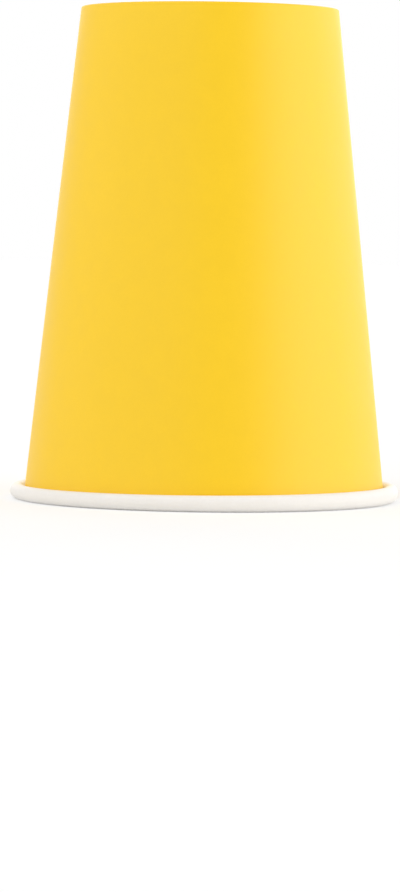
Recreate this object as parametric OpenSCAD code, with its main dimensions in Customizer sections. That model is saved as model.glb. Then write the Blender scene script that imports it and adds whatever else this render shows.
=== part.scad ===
// Paper cup, upside down: it stands on its rolled rim with the base on top.
// The origin is the centre of the rim plane, +Z points from the rim to the base, sizes are in millimetres.

/* [Cup] */
// Diameter over the rolled rim
rim_d = 78; // [64:0.5:100]
// Height from the rim plane to the base edge
cup_h = 98.4; // [60:0.1:140]
// Diameter of the wall where it meets the plane of the base edge
base_d = 51.5; // [40:0.5:66]

/* [Board] */
// Thickness of the sidewall sheet
board_t = 0.33; // [0.2:0.01:0.5]
// Thickness of the base disc
disc_t = 0.3; // [0.2:0.01:0.5]
// Sealing film left between two boards that are pressed together
film_t = 0.03; // [0.02:0.01:0.1]

/* [Rolled rim] */
// Diameter of the roll, across its section
roll_d = 3.2; // [2.4:0.1:5]
// Slit between the wall and the sheet that turns in behind the roll
roll_slit = 0.05; // [0.02:0.01:0.2]
// Turn of the tucked end inside the roll, in degrees
roll_tuck = 100; // [30:5:150]

/* [Side seam] */
// Direction of the outer layer's cut edge around the axis, in degrees
seam_at = 110; // [0:5:355]
// Width of the lap, measured at the rim
lap_w = 9; // [5:0.5:14]
// Width of the slope on which the sheet climbs over the edge below it, measured at the rim
climb_w = 2; // [1:0.1:4]

/* [Base] */
// Depth of the base disc below the base edge
recess = 7; // [5:0.1:12]
// Outer radius of the bend between the disc and its skirt
bend_r = 0.9; // [0.6:0.05:2]
// Clear height between the hem's cut edge and the base disc
hem_clear = 1.2; // [0.6:0.1:2.5]
// Height pressed off the rounded fold, which leaves a flat ring to stand on
edge_press = 0.1; // [0.02:0.01:0.14]

/* [Hidden] */
$fn = 96;

// Names of the half planes that cut a ring of board
ABOVE = 1;
BELOW = -1;

// Roll: half a turn at full size, then half a turn on a smaller radius that clears the wall
roll_r = roll_d / 2;
roll_centre = [rim_d / 2 - roll_r, roll_r];
turn_in = (board_t + roll_slit) / 2;

// Fold: the sheet turns back on itself around the skirt
skirt_room = disc_t + 2 * film_t;
fold_r = board_t + skirt_room / 2;

// Wall: its outer face runs from the base diameter to the inside of the roll
wall_reach = [roll_centre.x - base_d / 2, cup_h - roll_centre.y];
wall_lean = atan2(wall_reach.x, wall_reach.y) - asin((roll_r - board_t) / norm(wall_reach));
wall_foot = roll_centre - roll_r * [cos(wall_lean), sin(wall_lean)];
fold_rise = cup_h + edge_press - fold_r - wall_foot.y;
wall_l = (fold_rise + (fold_r - board_t) * sin(wall_lean)) / cos(wall_lean);
hem_l = (recess - hem_clear) / cos(wall_lean) - fold_r;

// Seam: angles that the widths at the rim take up around the axis
lap_turn = 360 * lap_w / (PI * rim_d);
climb_turn = 360 * climb_w / (PI * rim_d);
climb_lean = atan(board_t / climb_w) - climb_turn / 2;
climb_start = seam_at - lap_turn - climb_turn;

// Base: the bend's centre, from which the skirt rises parallel to the wall
bend_z = cup_h - recess - disc_t + bend_r;
bend_inset = (film_t + bend_r) / cos(wall_lean);
bend_x = wall_foot.x - (bend_z - wall_foot.y) * tan(wall_lean) - bend_inset;
skirt_l = wall_l - (bend_z - wall_foot.y) / cos(wall_lean) - bend_inset * sin(wall_lean);

// Puts a drawing with its wall upright, inner face on x = 0, into the section of the cup
module lean_with_wall() {
    translate(wall_foot) rotate(wall_lean) children();
}

// Half plane above or below the x axis, large enough to cut a shape of the given reach
module half_plane(side, reach) {
    translate([-2 * reach, side == ABOVE ? 0 : -2 * reach]) square([4 * reach, 2 * reach]);
}

// Ring of board, drawn around its own centre
module ring(outer_r, thickness) {
    difference() {
        circle(r = outer_r);
        circle(r = outer_r - thickness);
    }
}

// Half a turn of board, above or below its centre
module half_turn(outer_r, thickness, side) {
    intersection() {
        ring(outer_r, thickness);
        half_plane(side, outer_r);
    }
}

// Section of the rolled rim, as tall as it is wide: half a turn below, two short straights,
// a tighter half turn above, and the end tucked inside
module roll_section() {
    tuck_r = roll_r - 2 * turn_in;
    translate([roll_r, 0]) half_turn(roll_r, board_t, BELOW);
    for (x = [2 * turn_in, roll_d - board_t]) translate([x, 0]) square([board_t, turn_in]);
    translate([roll_r + turn_in, turn_in]) half_turn(roll_r - turn_in, board_t, ABOVE);
    translate([roll_r, 0]) intersection() {
        half_turn(tuck_r, board_t, BELOW);
        rotate(roll_tuck) half_plane(ABOVE, tuck_r);
    }
}

// Section of the folded base edge and the hem inside it
module hem_section() {
    translate([board_t - fold_r, wall_l]) {
        half_turn(fold_r, board_t, ABOVE);
        translate([-fold_r, -hem_l]) square([board_t, hem_l]);
    }
}

// Section of the whole sheet, with the fold pressed flat where the cup stands on it
module sheet_section() {
    difference() {
        lean_with_wall() {
            square([board_t, wall_l]);
            roll_section();
            hem_section();
        }
        translate([0, cup_h]) square([rim_d, fold_r]);
    }
}

// Everything on the outer or inner side of a sloped plane that starts on the wall at climb_start
module beside_climb(from_x, side) {
    reach = [2 * climb_w, 4 * climb_w, wall_l + 2 * fold_r];
    translate([wall_foot.x, 0, wall_foot.y]) rotate([0, -wall_lean, 0])
        translate([from_x, 0, 0]) rotate([0, 0, -climb_lean])
            translate([side == ABOVE ? 0 : -reach.x, -reach.y / 2, -fold_r]) cube(reach);
}

// Outer layer of the seam: it climbs from the wall and ends in a cut edge
module lap_layer() {
    difference() {
        rotate_extrude(angle = climb_turn + lap_turn) lean_with_wall()
            translate([board_t / 2, 0]) square([1.5 * board_t, wall_l]);
        beside_climb(board_t, ABOVE);
    }
}

// Groove inside the cup, between the climbing sheet and the cut edge of the inner layer
module lap_groove() {
    intersection() {
        rotate_extrude(angle = climb_turn) lean_with_wall()
            translate([-skirt_room / 2, 0]) square([skirt_room / 2 + 1.5 * board_t, wall_l]);
        beside_climb(0, BELOW);
    }
}

// Sidewall: one sheet with its lapped seam, rolled rim and folded hem
module sidewall() {
    color([0.98, 0.8, 0.2]) difference() {
        union() {
            rotate_extrude() sheet_section();
            rotate(climb_start) lap_layer();
        }
        rotate(climb_start) lap_groove();
    }
}

// Section of the base: half the disc, the bend at its edge and the skirt between wall and hem
module base_section() {
    translate([0, bend_z - bend_r]) square([bend_x, disc_t]);
    translate([bend_x, bend_z]) {
        rotate(wall_lean) translate([bend_r - disc_t, 0]) square([disc_t, skirt_l]);
        intersection() {
            ring(bend_r, disc_t);
            rotate(wall_lean) half_plane(BELOW, bend_r);
            translate([0, -2 * bend_r]) square([2 * bend_r, 4 * bend_r]);
        }
    }
}

// Base disc, recessed between the wall and the hem
module base_disc() {
    color([0.97, 0.96, 0.93]) rotate_extrude() base_section();
}

sidewall();
base_disc();
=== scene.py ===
"""Paper cup, upside down on its rolled rim: printed board, white coating and cut edges, in soft light."""

import math
from typing import NamedTuple

import bpy
from mathutils import Euler, Matrix, Vector


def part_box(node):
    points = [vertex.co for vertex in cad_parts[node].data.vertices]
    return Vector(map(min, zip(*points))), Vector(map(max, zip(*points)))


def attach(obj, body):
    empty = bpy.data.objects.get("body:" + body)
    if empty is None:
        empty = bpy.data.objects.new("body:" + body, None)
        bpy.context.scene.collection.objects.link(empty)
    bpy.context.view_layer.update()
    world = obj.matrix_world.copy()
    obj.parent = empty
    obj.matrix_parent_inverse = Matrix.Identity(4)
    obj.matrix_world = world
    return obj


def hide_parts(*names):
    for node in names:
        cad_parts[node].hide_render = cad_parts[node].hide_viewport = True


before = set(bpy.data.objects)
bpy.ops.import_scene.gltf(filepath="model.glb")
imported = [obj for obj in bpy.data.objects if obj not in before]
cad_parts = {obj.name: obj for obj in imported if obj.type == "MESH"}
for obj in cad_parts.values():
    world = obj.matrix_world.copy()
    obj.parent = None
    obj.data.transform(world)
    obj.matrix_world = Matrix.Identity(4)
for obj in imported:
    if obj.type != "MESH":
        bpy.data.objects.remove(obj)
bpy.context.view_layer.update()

MM = 0.001
FULL_TURN = 2 * math.pi
HALF_TURN = math.pi
QUARTER_TURN = math.pi / 2

# Sizes of the board, the roll, the seam and the base, as the part's source has them
BOARD_T = 0.33 * MM
DISC_T = 0.30 * MM
FILM_T = 0.03 * MM
BASE_D = 51.5 * MM
ROLL_D = 3.2 * MM
ROLL_SLIT = 0.05 * MM
ROLL_TUCK = math.radians(100)
SEAM_AT = math.radians(110)
LAP_W = 9 * MM
CLIMB_W = 2 * MM
BEND_R = 0.9 * MM
HEM_CLEAR = 1.2 * MM
EDGE_PRESS = 0.10 * MM

# Sizes that the frame gives
wall_low, wall_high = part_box("sidewall")
disc_low, disc_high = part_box("base_disc")
RIM_R = wall_high.x
RIM_Z = wall_low.z
CUP_H = wall_high.z
DISC_Z = disc_low.z
SKIRT_TOP_Z = disc_high.z

# Roll and fold, worked out as the part's source does
ROLL_R = ROLL_D / 2
TURN_IN = (BOARD_T + ROLL_SLIT) / 2
SKIRT_ROOM = DISC_T + 2 * FILM_T
FOLD_R = BOARD_T + SKIRT_ROOM / 2

# Wall: its outer face runs from the base diameter to the inside of the roll
ROLL_CENTRE = Vector((RIM_R - ROLL_R, ROLL_R))
WALL_REACH = Vector((ROLL_CENTRE.x - BASE_D / 2, CUP_H - ROLL_CENTRE.y))
WALL_LEAN = math.atan2(WALL_REACH.x, WALL_REACH.y) - math.asin((ROLL_R - BOARD_T) / WALL_REACH.length)
LEAN_COS = math.cos(WALL_LEAN)
LEAN_SIN = math.sin(WALL_LEAN)
WALL_OUT = Vector((LEAN_COS, LEAN_SIN))
WALL_UP = Vector((-LEAN_SIN, LEAN_COS))
WALL_FOOT = ROLL_CENTRE - ROLL_R * WALL_OUT
FOLD_RISE = CUP_H + EDGE_PRESS - FOLD_R - WALL_FOOT.y
WALL_L = (FOLD_RISE + (FOLD_R - BOARD_T) * LEAN_SIN) / LEAN_COS
RECESS = CUP_H - DISC_Z - DISC_T
HEM_L = (RECESS - HEM_CLEAR) / LEAN_COS - FOLD_R

# Seam: angles that the widths at the rim take up around the axis
LAP_TURN = LAP_W / RIM_R
CLIMB_TURN = CLIMB_W / RIM_R
INNER_EDGE_AT = SEAM_AT - LAP_TURN

# Uneven roll: the share by which it is taller on the right and lower on the left, and its swelling over the
# seam, which reaches so many widths of the lap
ROLL_UNEVEN = 0.085
SEAM_SWELL = 0.30 * MM
SWELL_LAPS = 1.2
SWELL_TURN = SWELL_LAPS * LAP_TURN

# Pressing ridges of the hem, with the share of their half wave that its cut edge cuts off, pleats of the
# bend between the disc and its skirt, and the dome of the disc
HEM_RIDGES = 104
HEM_RIDGE_H = 0.10 * MM
HEM_RIDGE_START = 0.15
BEND_PLEATS = 72
BEND_PLEAT_H = 0.12 * MM
DISC_DOME = 0.25 * MM

# Steps of the meshes, around the axis and along each stretch of a section
WALL_COLUMNS = 540
DISC_COLUMNS = 288
HEM_STEPS = 9
FOLD_STEPS = 12
WALL_STEPS = 10
LOWER_ROLL_STEPS = 20
UPPER_ROLL_STEPS = 18
TUCK_STEPS = 8
DISC_STEPS = 24
BEND_STEPS = 8
SKIRT_STEPS = 6
SHARP_EDGE = math.radians(50)
MERGE_WITHIN = 0.001 * MM


# Sections of board, drawn in the plane of radius and height

# Sides of a bend
OUTSIDE = 1
INSIDE = -1


class Station(NamedTuple):
    """One place in the middle of the board, and the way its front face looks.

    rolled and ridged say how far the unevenness of the roll and the ridges reach it, from 0 to 1.
    """

    place: Vector
    face: Vector
    rolled: float = 0.0
    ridged: float = 0.0


def straight(start, end, face, steps=1):
    """Stations along a flat stretch, without its end."""
    start, end = Vector(start), Vector(end)
    return [Station(start.lerp(end, i / steps), Vector(face)) for i in range(steps)]


def turn(centre, radius, start, sweep, front, steps):
    """Stations around a bend, without its end. front is the side that the face is on, OUTSIDE or INSIDE."""
    stations = []
    for i in range(steps):
        angle = start + sweep * i / steps
        out = Vector((math.cos(angle), math.sin(angle)))
        stations.append(Station(Vector(centre) + radius * out, front * out))
    return stations


def smooth_step(share):
    """Eases a share between 0 and 1 in and out."""
    share = min(max(share, 0.0), 1.0)
    return share * share * (3 - 2 * share)


def with_roll(stations):
    """The same stations, with the first half of them easing into the roll."""
    half = len(stations) / 2
    return [s._replace(rolled=smooth_step(i / half)) for i, s in enumerate(stations)]


def with_ridges(stations, start=0.0):
    """The same stations, with ridges as high as a half wave, from this share of it to its end."""
    last = len(stations) - 1
    ridged = []
    for i, station in enumerate(stations):
        share = start + (1 - start) * i / last
        ridged.append(station._replace(ridged=math.sin(HALF_TURN * share)))
    return ridged


def with_dome(stations, reach):
    """The same stations of a flat disc, sunk towards its centre. reach is the disc's radius."""
    domed = []
    for station in stations:
        share = 1 - (station.place.x / reach) ** 2
        domed.append(station._replace(place=station.place - Vector((0, DISC_DOME * share * share))))
    return domed


def lean_with_wall(station):
    """Puts a station drawn beside an upright wall into the section of the cup."""
    place = station.place.x * WALL_OUT + station.place.y * WALL_UP
    face = station.face.x * WALL_OUT + station.face.y * WALL_UP
    return station._replace(place=WALL_FOOT + place, face=face)


def sidewall_section():
    """The sheet from the hem's cut edge over the fold, down the wall and round the roll to its tucked end."""
    half_t = BOARD_T / 2
    hem_x = -SKIRT_ROOM - half_t
    outer_x = ROLL_D - half_t
    inner_x = 2 * TURN_IN + half_t
    lower_r = ROLL_R - half_t
    upper_r = lower_r - TURN_IN
    tuck_r = upper_r - TURN_IN
    fold_centre = (BOARD_T - FOLD_R, WALL_L)
    lower_centre = (ROLL_R, 0)
    upper_centre = (ROLL_R + TURN_IN, TURN_IN)
    hem = straight((hem_x, WALL_L - HEM_L), (hem_x, WALL_L), (-1, 0), HEM_STEPS)
    fold = turn(fold_centre, FOLD_R - half_t, HALF_TURN, -HALF_TURN, OUTSIDE, FOLD_STEPS)
    wall = straight((half_t, WALL_L), (half_t, 0), (1, 0), WALL_STEPS)
    lower = turn(lower_centre, lower_r, HALF_TURN, HALF_TURN, INSIDE, LOWER_ROLL_STEPS)
    rise = straight((outer_x, 0), (outer_x, TURN_IN), (-1, 0))
    upper = turn(upper_centre, upper_r, 0, HALF_TURN, INSIDE, UPPER_ROLL_STEPS)
    fall = straight((inner_x, TURN_IN), (inner_x, 0), (1, 0))
    tuck = turn(lower_centre, tuck_r, HALF_TURN, ROLL_TUCK, INSIDE, TUCK_STEPS)
    rolled = [s._replace(rolled=1.0) for s in rise + upper + fall + tuck]
    sheet = with_ridges(hem, HEM_RIDGE_START) + fold + wall + with_roll(lower) + rolled
    return [lean_with_wall(s) for s in sheet]


def base_disc_section():
    """The disc from its centre to the bend, and its skirt up to the cut edge."""
    half_t = DISC_T / 2
    disc_mid = DISC_Z + half_t
    bend_z = DISC_Z + BEND_R
    bend_inset = (FILM_T + BEND_R) / LEAN_COS
    bend_x = WALL_FOOT.x - (bend_z - WALL_FOOT.y) / LEAN_COS * LEAN_SIN - bend_inset
    bend_centre = Vector((bend_x, bend_z))
    bend_mid_r = BEND_R - half_t
    skirt_foot = bend_centre + bend_mid_r * WALL_OUT
    skirt_l = (SKIRT_TOP_Z - skirt_foot.y - half_t * LEAN_SIN) / LEAN_COS
    skirt_top = skirt_foot + skirt_l * WALL_UP
    disc = straight((0, disc_mid), (bend_x, disc_mid), (0, 1), DISC_STEPS)
    bend = turn(bend_centre, bend_mid_r, -QUARTER_TURN, QUARTER_TURN + WALL_LEAN, INSIDE, BEND_STEPS)
    skirt = straight(skirt_foot, skirt_top, -WALL_OUT, SKIRT_STEPS)
    cut_edge = [Station(skirt_top, -WALL_OUT)]
    return with_dome(disc, bend_x) + with_ridges(bend) + skirt + cut_edge


# Node trees

class Nodes:
    """Adds nodes to one tree and fills their inputs with values or links."""

    def __init__(self, tree):
        self.tree = tree

    def fill(self, socket, value):
        """Gives an input a value, or a link from another node's output."""
        if isinstance(value, bpy.types.NodeSocket):
            self.tree.links.new(value, socket)
        else:
            socket.default_value = value

    def add(self, kind, inputs=None, **settings):
        """Adds a node with these settings. inputs maps a socket's name or number to a value or an output."""
        node = self.tree.nodes.new(kind)
        for name, value in settings.items():
            setattr(node, name, value)
        for socket, value in (inputs or {}).items():
            self.fill(node.inputs[socket], value)
        return node

    def math(self, operation, first, second=0.0):
        """One step of arithmetic."""
        return self.add("ShaderNodeMath", {0: first, 1: second}, operation=operation).outputs[0]

    def vector_math(self, operation, inputs):
        """One step of arithmetic with vectors."""
        return self.add("ShaderNodeVectorMath", inputs, operation=operation).outputs[0]

    def ease(self, value, start, end, first, last):
        """Eases from the first to the last while the value goes from start to end."""
        limits = {"Value": value, "From Min": start, "From Max": end, "To Min": first, "To Max": last}
        return self.add("ShaderNodeMapRange", limits, interpolation_type="SMOOTHSTEP").outputs["Result"]

    def spread(self, value, low, high):
        """Maps 0 to 1 onto low to high."""
        limits = {"Value": value, "To Min": low, "To Max": high}
        return self.add("ShaderNodeMapRange", limits).outputs["Result"]

    def noise(self, place, scale, detail, roughness):
        """Noise between 0 and 1, at so many grains a metre."""
        inputs = {"Vector": place, "Scale": scale, "Detail": detail, "Roughness": roughness}
        return self.add("ShaderNodeTexNoise", inputs).outputs["Fac"]

    def blend(self, factor, first, second):
        """Mixes two colours."""
        node = self.add("ShaderNodeMix", data_type="RGBA")
        sockets = [s for s in node.inputs if s.enabled]
        for socket, value in zip(sockets, (factor, first, second)):
            self.fill(socket, value)
        return next(s for s in node.outputs if s.enabled)


# Inputs of the tree that wraps a board, with their kinds and what they are where a piece sets none
WRAP_INPUTS = {
    "Columns": ("NodeSocketInt", WALL_COLUMNS),
    "Start": ("NodeSocketFloat", 0.0),
    "Wrap": ("NodeSocketFloat", FULL_TURN),
    "Lap": ("NodeSocketFloat", 0.0),
    "Layer": ("NodeSocketFloat", 0.0),
    "Climb": ("NodeSocketFloat", CLIMB_TURN),
    "Swell": ("NodeSocketFloat", 0.0),
    "Swell reach": ("NodeSocketFloat", SWELL_TURN),
    "Roll uneven": ("NodeSocketFloat", 0.0),
    "Bottom": ("NodeSocketFloat", RIM_Z),
    "Top": ("NodeSocketFloat", CUP_H),
    "Ridges": ("NodeSocketFloat", 0.0),
    "Ridge height": ("NodeSocketFloat", 0.0),
    "Board": ("NodeSocketMaterial", None),
}


def wrapped_board_tree():
    """Geometry Nodes that wrap a section of board around the cup's axis and lap its two ends."""
    tree = bpy.data.node_groups.new("wrapped_board", "GeometryNodeTree")
    tree.interface.new_socket("Section", in_out="INPUT", socket_type="NodeSocketGeometry")
    for name, (kind, value) in WRAP_INPUTS.items():
        socket = tree.interface.new_socket(name, in_out="INPUT", socket_type=kind)
        if value is not None:
            socket.default_value = value
    tree.interface.new_socket("Board", in_out="OUTPUT", socket_type="NodeSocketGeometry")
    n = Nodes(tree)
    sizes = n.add("NodeGroupInput").outputs
    section = sizes["Section"]

    # One row of the grid for each station, one column for each step around the axis. The half that is added
    # to the index keeps rounding from putting a row's first point into the row before it
    rows = n.add("GeometryNodeAttributeDomainSize", {"Geometry": section}).outputs["Point Count"]
    grid = n.add("GeometryNodeMeshGrid", {"Vertices X": rows, "Vertices Y": sizes["Columns"]})
    index = n.add("GeometryNodeInputIndex").outputs[0]
    row = n.math("FLOOR", n.math("DIVIDE", n.math("ADD", index, 0.5), sizes["Columns"]))
    column = n.math("SUBTRACT", index, n.math("MULTIPLY", row, sizes["Columns"]))
    last_column = n.math("SUBTRACT", sizes["Columns"], 1)
    turned = n.math("MULTIPLY", n.math("DIVIDE", column, last_column), sizes["Wrap"])
    angle = n.math("ADD", turned, sizes["Start"])

    def of_station(value, data_type):
        inputs = {"Geometry": section, "Value": value, "Index": row}
        return n.add("GeometryNodeSampleIndex", inputs, data_type=data_type).outputs["Value"]

    def attribute(name, data_type):
        node = n.add("GeometryNodeInputNamedAttribute", {"Name": name}, data_type=data_type)
        return of_station(node.outputs["Attribute"], data_type)

    place = of_station(n.add("GeometryNodeInputPosition").outputs[0], "FLOAT_VECTOR")
    face = attribute("face", "FLOAT_VECTOR")
    rolled = attribute("rolled", "FLOAT")
    ridged = attribute("ridged", "FLOAT")

    # Lift along the front face: up for the outer layer of the lap and for ridges, down where the roll swells
    climb_start = n.math("SUBTRACT", FULL_TURN, sizes["Climb"])
    climbed = n.ease(turned, climb_start, FULL_TURN, 0.0, 1.0)
    layer = n.math("MULTIPLY", climbed, sizes["Layer"])
    swell_end = n.math("ADD", FULL_TURN, sizes["Swell reach"])
    inner_swell = n.ease(turned, 0.0, sizes["Swell reach"], 1.0, 0.0)
    outer_swell = n.math("MULTIPLY", climbed, n.ease(turned, FULL_TURN, swell_end, 1.0, 0.0))
    swell = n.math("MULTIPLY", rolled, sizes["Swell"])
    swell = n.math("MULTIPLY", n.math("ADD", inner_swell, outer_swell), swell)
    wave = n.math("ADD", n.math("COSINE", n.math("MULTIPLY", turned, sizes["Ridges"])), 1.0)
    half_height = n.math("DIVIDE", sizes["Ridge height"], 2.0)
    ridge = n.math("MULTIPLY", wave, n.math("MULTIPLY", ridged, half_height))
    lift = n.math("ADD", n.math("SUBTRACT", layer, swell), ridge)
    lifted = n.vector_math("ADD", {0: place, 1: n.vector_math("SCALE", {0: face, "Scale": lift})})

    # Height: the roll is a little taller on one side and rests on the floor, and the fold is pressed flat,
    # the inner layer of the lap under the outer one
    parts = n.add("ShaderNodeSeparateXYZ", {0: lifted}).outputs
    uneven = n.math("MULTIPLY", n.math("MULTIPLY", rolled, sizes["Roll uneven"]), n.math("COSINE", angle))
    height = n.math("MULTIPLY", parts["Z"], n.math("ADD", uneven, 1.0))
    lap_end = n.math("ADD", sizes["Lap"], sizes["Climb"])
    pressed = n.math("MULTIPLY", n.ease(turned, sizes["Lap"], lap_end, 1.0, 0.0), sizes["Layer"])
    top = n.math("SUBTRACT", sizes["Top"], pressed)
    height = n.math("MAXIMUM", n.math("MINIMUM", height, top), sizes["Bottom"])
    x = n.math("MULTIPLY", parts["X"], n.math("COSINE", angle))
    y = n.math("MULTIPLY", parts["X"], n.math("SINE", angle))
    position = n.add("ShaderNodeCombineXYZ", {"X": x, "Y": y, "Z": height}).outputs[0]

    board = n.add("GeometryNodeSetPosition", {"Geometry": grid.outputs["Mesh"], "Position": position})
    merged = n.add("GeometryNodeMergeByDistance", {"Geometry": board.outputs[0], "Distance": MERGE_WITHIN})
    smooth = n.add("GeometryNodeSetShadeSmooth", {"Geometry": merged.outputs[0]})
    plain = n.add("GeometryNodeRealizeInstances", {"Geometry": smooth.outputs[0]})
    coloured = n.add("GeometryNodeSetMaterial", {"Geometry": plain.outputs[0], "Material": sizes["Board"]})
    n.add("NodeGroupOutput", {"Board": coloured.outputs[0]})
    return tree


def section_mesh(name, stations):
    """A line of points through the stations, with what the tree reads from each."""
    mesh = bpy.data.meshes.new(name)
    points = [(s.place.x, 0.0, s.place.y) for s in stations]
    mesh.from_pydata(points, [(i, i + 1) for i in range(len(points) - 1)], [])
    faces = [value for s in stations for value in (s.face.x, 0.0, s.face.y)]
    mesh.attributes.new("face", "FLOAT_VECTOR", "POINT").data.foreach_set("vector", faces)
    mesh.attributes.new("rolled", "FLOAT", "POINT").data.foreach_set("value", [s.rolled for s in stations])
    mesh.attributes.new("ridged", "FLOAT", "POINT").data.foreach_set("value", [s.ridged for s in stations])
    return mesh


def board_piece(name, tree, stations, sizes, thickness, finishes):
    """Wraps a section into a piece of board. finishes are its front, its back and its cut edges."""
    piece = bpy.data.objects.new(name, section_mesh(name + "_section", stations))
    bpy.context.scene.collection.objects.link(piece)
    # The tree's grid comes with an empty slot before the finishes
    for finish in [None, *finishes]:
        piece.data.materials.append(finish)
    wrap = piece.modifiers.new("wrap", "NODES")
    wrap.node_group = tree
    identifiers = {s.name: s.identifier for s in tree.interface.items_tree if s.in_out == "INPUT"}
    for size, value in (sizes | {"Board": finishes[0]}).items():
        wrap[identifiers[size]] = value
    thick = piece.modifiers.new("thickness", "SOLIDIFY")
    thick.thickness = thickness
    thick.offset = 0.0
    thick.use_quality_normals = True
    thick.material_offset = 1
    thick.material_offset_rim = 2
    depsgraph = bpy.context.evaluated_depsgraph_get()
    mesh = bpy.data.meshes.new_from_object(piece.evaluated_get(depsgraph))
    piece.modifiers.clear()
    piece.data = mesh
    for finish in finishes[1:]:
        mesh.materials.append(finish)
    mesh.materials.pop(index=0)
    mesh.set_sharp_from_angle(angle=SHARP_EDGE)
    return piece


# Finishes

# Grain of the board: how finely its clouds and fibres break up, and what each adds to the relief
CLOUD_DETAIL = 4.0
CLOUD_ROUGHNESS = 0.6
CLOUD_RELIEF = 0.4
FIBRE_DETAIL = 3.0
FIBRE_ROUGHNESS = 0.65
FIBRE_RELIEF = 0.6
RELIEF_H = 0.05 * MM

# Product of cloud and fibre at which the board shows its dark and its light colour
MOTTLE_DARK = 0.10
MOTTLE_LIGHT = 0.42


def board_grain_group():
    """Shader group for the look of paperboard: cloudy formation, fine fibres and the relief of both."""
    group = bpy.data.node_groups.new("board_grain", "ShaderNodeTree")
    for name in ("Cloud scale", "Fibre scale"):
        group.interface.new_socket(name, in_out="INPUT", socket_type="NodeSocketFloat")
    for name in ("Cloud", "Fibre", "Relief"):
        group.interface.new_socket(name, in_out="OUTPUT", socket_type="NodeSocketFloat")
    n = Nodes(group)
    sizes = n.add("NodeGroupInput").outputs
    place = n.add("ShaderNodeTexCoord").outputs["Object"]
    cloud = n.noise(place, sizes["Cloud scale"], CLOUD_DETAIL, CLOUD_ROUGHNESS)
    fibre = n.noise(place, sizes["Fibre scale"], FIBRE_DETAIL, FIBRE_ROUGHNESS)
    relief = n.math("ADD", n.math("MULTIPLY", cloud, CLOUD_RELIEF), n.math("MULTIPLY", fibre, FIBRE_RELIEF))
    n.add("NodeGroupOutput", {"Cloud": cloud, "Fibre": fibre, "Relief": relief})
    return group


class Finish(NamedTuple):
    """How one face of the board looks: two colours that its grain mixes, its sheen and its relief.

    roughness runs from the smoothest to the roughest place. The scales are grains a metre.
    """

    light: tuple
    dark: tuple
    roughness: tuple
    specular: float
    relief: float
    cloud_scale: float
    fibre_scale: float


FINISHES = {
    "yellow_print": Finish(
        light=(0.938, 0.594, 0.002, 1),
        dark=(0.918, 0.580, 0.002, 1),
        roughness=(0.44, 0.52),
        specular=0.48,
        relief=0.12,
        cloud_scale=260,
        fibre_scale=2600,
    ),
    "white_coating": Finish(
        light=(0.880, 0.858, 0.832, 1),
        dark=(0.860, 0.836, 0.808, 1),
        roughness=(0.42, 0.55),
        specular=0.14,
        relief=0.12,
        cloud_scale=300,
        fibre_scale=2400,
    ),
    "cut_edge": Finish(
        light=(0.880, 0.850, 0.790, 1),
        dark=(0.700, 0.650, 0.560, 1),
        roughness=(0.80, 0.95),
        specular=0.20,
        relief=0.40,
        cloud_scale=900,
        fibre_scale=7000,
    ),
    "bare_board": Finish(
        light=(0.860, 0.843, 0.812, 1),
        dark=(0.815, 0.796, 0.760, 1),
        roughness=(0.62, 0.78),
        specular=0.20,
        relief=0.30,
        cloud_scale=420,
        fibre_scale=3600,
    ),
}


def board_finish(name, finish, grain):
    """Material for one face of the board."""
    material = bpy.data.materials.new(name)
    material.use_nodes = True
    n = Nodes(material.node_tree)
    shader = material.node_tree.nodes["Principled BSDF"].inputs
    scales = {"Cloud scale": finish.cloud_scale, "Fibre scale": finish.fibre_scale}
    marks = n.add("ShaderNodeGroup", scales, node_tree=grain).outputs
    mottle = n.math("MULTIPLY", marks["Cloud"], marks["Fibre"])
    mottle = n.ease(mottle, MOTTLE_DARK, MOTTLE_LIGHT, 0.0, 1.0)
    relief = {"Height": marks["Relief"], "Strength": finish.relief, "Distance": RELIEF_H}
    bump = n.add("ShaderNodeBump", relief)
    n.fill(shader["Base Color"], n.blend(mottle, finish.dark, finish.light))
    n.fill(shader["Roughness"], n.spread(marks["Cloud"], *finish.roughness))
    n.fill(shader["Normal"], bump.outputs[0])
    n.fill(shader["Specular IOR Level"], finish.specular)
    return material


# Pieces

def make_sidewall(tree, finishes):
    """The printed sheet with its lapped seam, rolled rim and folded hem."""
    sizes = {
        "Columns": WALL_COLUMNS,
        "Start": INNER_EDGE_AT,
        "Wrap": FULL_TURN + LAP_TURN,
        "Lap": LAP_TURN,
        "Layer": BOARD_T + FILM_T,
        "Swell": SEAM_SWELL,
        "Roll uneven": ROLL_UNEVEN,
        "Bottom": BOARD_T / 2,
        "Top": CUP_H - BOARD_T / 2,
        "Ridges": float(HEM_RIDGES),
        "Ridge height": HEM_RIDGE_H,
    }
    faces = [finishes["yellow_print"], finishes["white_coating"], finishes["cut_edge"]]
    sidewall = board_piece("cup_sidewall", tree, sidewall_section(), sizes, BOARD_T, faces)
    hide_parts("sidewall")
    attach(sidewall, "root")


def make_base_disc(tree, finishes):
    """The white disc with its pleated bend and its skirt. Its last column closes on its first."""
    sizes = {
        "Columns": DISC_COLUMNS + 1,
        "Ridges": float(BEND_PLEATS),
        "Ridge height": BEND_PLEAT_H,
    }
    faces = [finishes["bare_board"], finishes["white_coating"], finishes["cut_edge"]]
    base_disc = board_piece("cup_base_disc", tree, base_disc_section(), sizes, DISC_T, faces)
    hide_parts("base_disc")
    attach(base_disc, "root")


# Floor, light and camera

FLOOR_SIZE = 12.0
FLOOR_Z = -0.02 * MM
FLOOR_CORNERS = ((-1, -1), (1, -1), (1, 1), (-1, 1))
FLOOR_BOUNCE = (0.92, 0.92, 0.91, 1)
FLOOR_SHADED = (0.50, 0.50, 0.50, 1)
FLOOR_GLOW = 0.50
WHITE = (1, 1, 1, 1)
WORLD_LIGHT = 0.32
WORLD_SHOWN = 1.0


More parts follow.
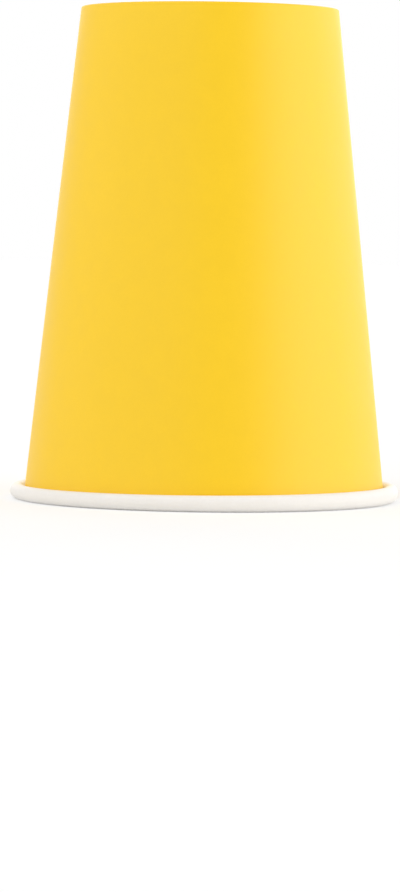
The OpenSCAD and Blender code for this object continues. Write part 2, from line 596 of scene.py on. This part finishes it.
class Lamp(NamedTuple):
    """A far, wide lamp: its direction from the cup and its spread, in degrees, and its strength.

    Azimuth 0 is the camera's side and 90 is the cup's right.
    """

    azimuth: float
    elevation: float
    spread: float
    strength: float


LAMPS = {
    "left_light": Lamp(azimuth=-60, elevation=30, spread=100, strength=1.63),
    "right_light": Lamp(azimuth=68, elevation=12, spread=50, strength=1.54),
    "right_rear_light": Lamp(azimuth=114, elevation=18, spread=50, strength=0.77),
    "top_light": Lamp(azimuth=-40, elevation=75, spread=40, strength=0.42),
    "rear_light": Lamp(azimuth=176, elevation=24, spread=60, strength=0.86),
}

# Camera: its place, its turn in radians, its lens and sensor in millimetres, and how near and far it sees
CAMERA_AT = Vector((-0.903 * MM, -805.0 * MM, 54.10 * MM))
CAMERA_PITCH = 0.05383
CAMERA_ROLL = 0.01310
CAMERA_LENS = 161.67
CAMERA_SENSOR = 36.0
CAMERA_NEAR = 0.01
CAMERA_FAR = 50.0


def seen_directly(n):
    """1 for rays that show the background itself: from the camera, off gloss or through glass."""
    path = n.add("ShaderNodeLightPath").outputs
    shown = n.math("MAXIMUM", path["Is Camera Ray"], path["Is Glossy Ray"])
    return n.math("MAXIMUM", shown, path["Is Transmission Ray"])


def floor_finish():
    """White where it is seen, apart from the cup's soft shadow, and pale where it throws light back."""
    material = bpy.data.materials.new("pale_floor")
    material.use_nodes = True
    material.node_tree.nodes.clear()
    n = Nodes(material.node_tree)
    bounce = n.add("ShaderNodeBsdfDiffuse", {"Color": FLOOR_BOUNCE})
    shaded = n.add("ShaderNodeBsdfDiffuse", {"Color": FLOOR_SHADED})
    glow = n.add("ShaderNodeEmission", {"Color": WHITE, "Strength": FLOOR_GLOW})
    shown = n.add("ShaderNodeAddShader", {0: shaded.outputs[0], 1: glow.outputs[0]})
    mix = n.add("ShaderNodeMixShader", {0: seen_directly(n), 1: bounce.outputs[0], 2: shown.outputs[0]})
    n.add("ShaderNodeOutputMaterial", {"Surface": mix.outputs[0]})
    return material


def pale_floor():
    """A wide square just under the rim."""
    half = FLOOR_SIZE / 2
    mesh = bpy.data.meshes.new("floor")
    mesh.from_pydata([(x * half, y * half, 0) for x, y in FLOOR_CORNERS], [], [(0, 1, 2, 3)])
    mesh.materials.append(floor_finish())
    floor = bpy.data.objects.new("floor", mesh)
    floor.location.z = FLOOR_Z
    bpy.context.scene.collection.objects.link(floor)


def white_world():
    """A white background, and an even light from all around."""
    world = bpy.data.worlds.new("white_room")
    world.use_nodes = True
    world.node_tree.nodes.clear()
    n = Nodes(world.node_tree)
    light = n.add("ShaderNodeBackground", {"Color": WHITE, "Strength": WORLD_LIGHT})
    shown = n.add("ShaderNodeBackground", {"Color": WHITE, "Strength": WORLD_SHOWN})
    mix = n.add("ShaderNodeMixShader", {0: seen_directly(n), 1: light.outputs[0], 2: shown.outputs[0]})
    n.add("ShaderNodeOutputWorld", {"Surface": mix.outputs[0]})
    bpy.context.scene.world = world


def soft_light(name, lamp):
    """Hangs one lamp, turned towards the cup."""
    sun = bpy.data.lights.new(name, "SUN")
    sun.energy = lamp.strength
    sun.angle = math.radians(lamp.spread)
    light = bpy.data.objects.new(name, sun)
    azimuth = math.radians(lamp.azimuth)
    elevation = math.radians(lamp.elevation)
    level = math.cos(elevation)
    towards = Vector((math.sin(azimuth) * level, -math.cos(azimuth) * level, math.sin(elevation)))
    light.rotation_euler = towards.to_track_quat("Z", "Y").to_euler()
    bpy.context.scene.collection.objects.link(light)


def front_camera():
    """The camera in front of the cup, looking a little down on its rim."""
    lens = bpy.data.cameras.new("camera")
    lens.lens = CAMERA_LENS
    lens.sensor_width = CAMERA_SENSOR
    lens.clip_start = CAMERA_NEAR
    lens.clip_end = CAMERA_FAR
    camera = bpy.data.objects.new("camera", lens)
    pitch = Euler((QUARTER_TURN - CAMERA_PITCH, 0, 0)).to_matrix()
    roll = Euler((0, 0, CAMERA_ROLL)).to_matrix()
    camera.matrix_world = Matrix.Translation(CAMERA_AT) @ (pitch @ roll).to_4x4()
    bpy.context.scene.collection.objects.link(camera)
    bpy.context.scene.camera = camera


grain_group = board_grain_group()
board_finishes = {name: board_finish(name, finish, grain_group) for name, finish in FINISHES.items()}
wrap_tree = wrapped_board_tree()
make_sidewall(wrap_tree, board_finishes)
make_base_disc(wrap_tree, board_finishes)

pale_floor()
white_world()
for lamp_name, lamp_values in LAMPS.items():
    soft_light(lamp_name, lamp_values)
front_camera()
bpy.context.scene.view_settings.view_transform = "Standard"
